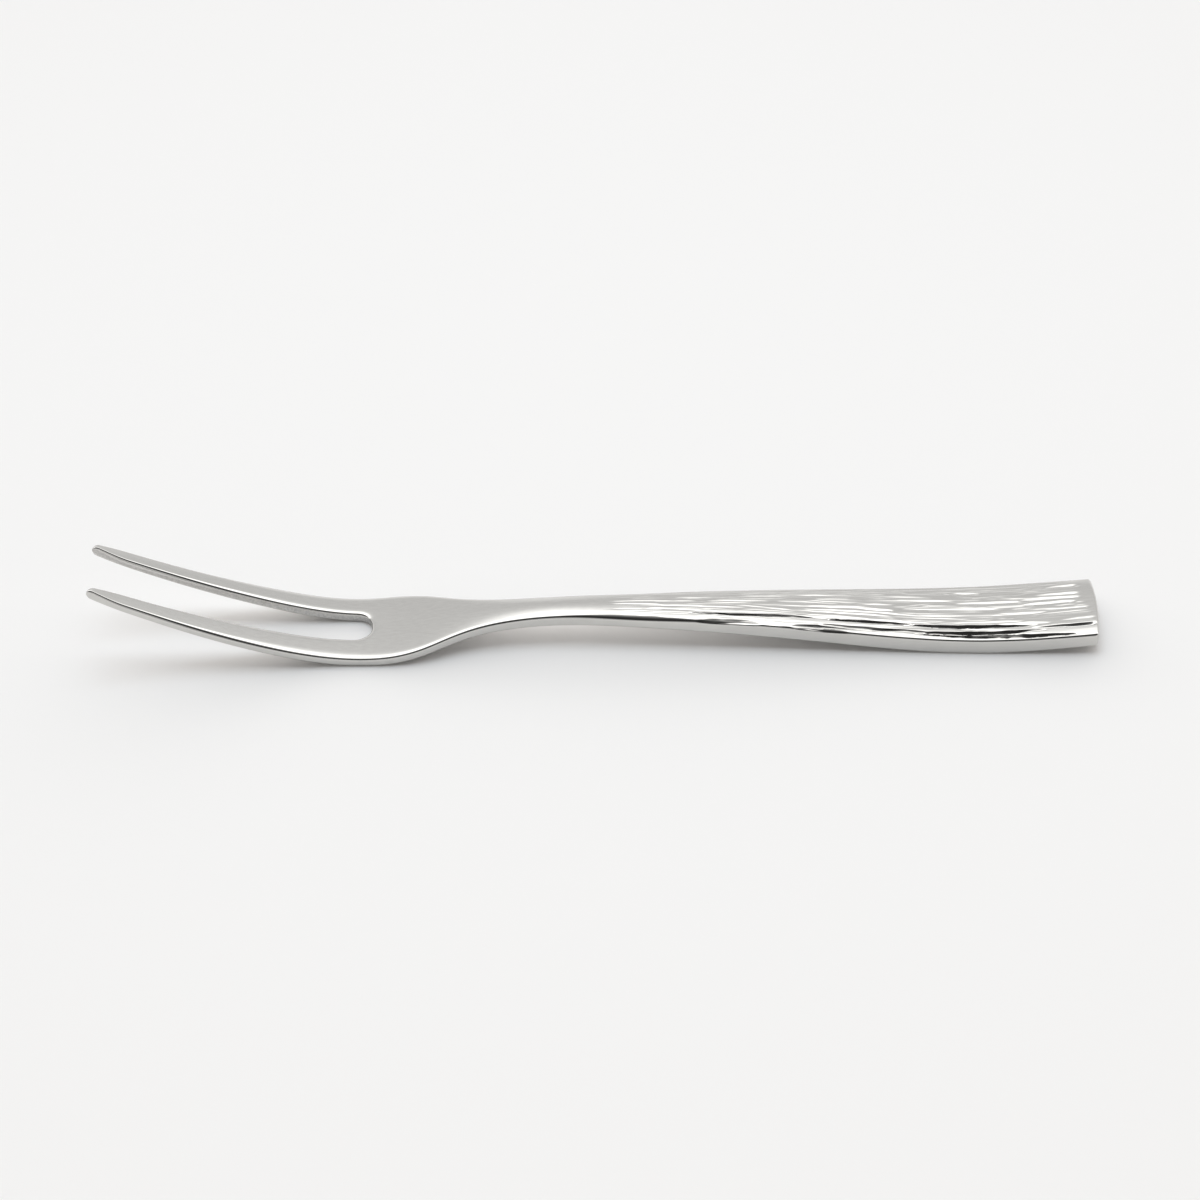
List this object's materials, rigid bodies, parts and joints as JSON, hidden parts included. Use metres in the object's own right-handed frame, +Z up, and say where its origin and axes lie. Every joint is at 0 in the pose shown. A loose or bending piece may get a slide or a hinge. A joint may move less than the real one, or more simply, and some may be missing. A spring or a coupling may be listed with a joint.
{
  "type": "fruit fork",
  "caption": "Small polished steel table fork with slim curved tines, a narrow arched neck and a flared handle with a bark-like grain, for eating cut fruit.",
  "frame": {"origin": "on the table, under the middle of the fork's length and width", "axes": "+X from the tips of the tines to the end of the handle, +Y to the right tine, +Z up from the table"},
  "size_m": [0.1398, 0.0134, 0.0133],
  "materials": {
    "polished_steel": "mirror-polished stainless steel with fine satin lines from grinding",
    "bark_steel": "polished stainless steel struck with a lengthwise bark-like grain"
  },
  "bodies": {
    "root": {"tine_left": "polished_steel", "tine_right": "polished_steel", "head": "polished_steel", "neck": "polished_steel", "handle": "bark_steel"}
  },
  "joints": []
}
